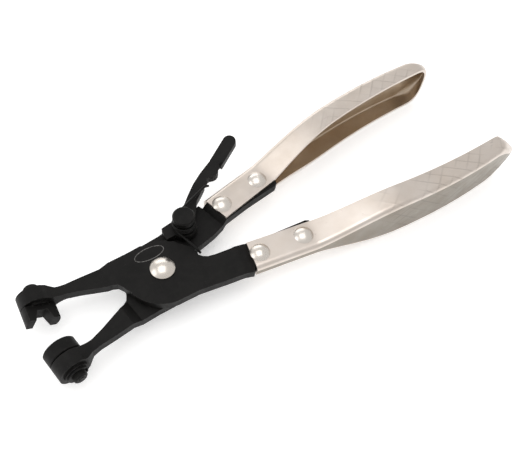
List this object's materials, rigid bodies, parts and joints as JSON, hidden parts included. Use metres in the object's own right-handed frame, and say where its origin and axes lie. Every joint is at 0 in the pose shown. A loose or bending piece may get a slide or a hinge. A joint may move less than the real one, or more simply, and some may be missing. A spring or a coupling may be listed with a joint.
{
  "type": "hose clamp pliers",
  "caption": "Locking pliers for spring band hose clamps, with swivelling jaw tips, a ratchet pawl with a torsion spring, and riveted channel grips.",
  "frame": {"origin": "middle of the pivot rivet's flat tail face, on the axis the two levers turn about", "axes": "+X from the pivot towards the grips, +Z along the pivot towards the rivet's domed head, +Y towards the grip that carries the pawl"},
  "size_m": [0.2311, 0.078, 0.0236],
  "materials": {
    "black_steel": "black oxide over forged and stamped steel, satin",
    "black_tip": "black oxide over turned and milled steel, satin",
    "spring_wire": "oiled black spring wire",
    "nickel_sheet": "warm satin nickel plate over folded steel sheet",
    "nickel_rivet": "bright nickel plate"
  },
  "bodies": {
    "rear": {"rear_lever": "black_steel", "pivot_rivet": "nickel_rivet", "pivot_washer": "black_steel", "pawl_stud": "black_steel", "pawl_washer": "black_steel", "torsion_spring": "spring_wire", "rear_grip": "nickel_sheet", "rear_grip_rivet_1": "nickel_rivet", "rear_grip_rivet_2": "nickel_rivet"},
    "front": {"front_lever": "black_steel", "front_grip": "nickel_sheet", "front_grip_rivet_1": "nickel_rivet", "front_grip_rivet_2": "nickel_rivet"},
    "pawl": {"ratchet_pawl": "black_steel"},
    "upper_swivel": {"upper_tip": "black_tip", "upper_tip_washer": "black_tip", "upper_tip_clip": "black_tip"},
    "lower_swivel": {"lower_tip": "black_tip", "lower_tip_washer": "black_tip", "lower_tip_clip": "black_tip"}
  },
  "joints": [
    {"name": "jaw_pivot", "type": "hinge", "parent": "rear", "child": "front", "pos_m": [0, 0, 0.0065], "axis": [0, 0, 1], "range_deg": [-20, 13], "deforming": ["torsion_spring"]},
    {"name": "pawl_pivot", "type": "hinge", "parent": "rear", "child": "pawl", "pos_m": [0.0176, 0.0128, 0.0065], "axis": [0, 0, 1], "range_deg": [-5, 0], "stiffness_Nm_per_rad": 0.12, "springref_deg": 20.05},
    {"name": "upper_tip_swivel", "type": "hinge", "parent": "front", "child": "upper_swivel", "pos_m": [-0.0471, 0.0153, 0.0065], "axis": [-0.1132, -0.9936, 0], "continuous": true},
    {"name": "lower_tip_swivel", "type": "hinge", "parent": "rear", "child": "lower_swivel", "pos_m": [-0.0471, -0.0153, 0.0065], "axis": [-0.1132, 0.9936, 0], "continuous": true}
  ]
}
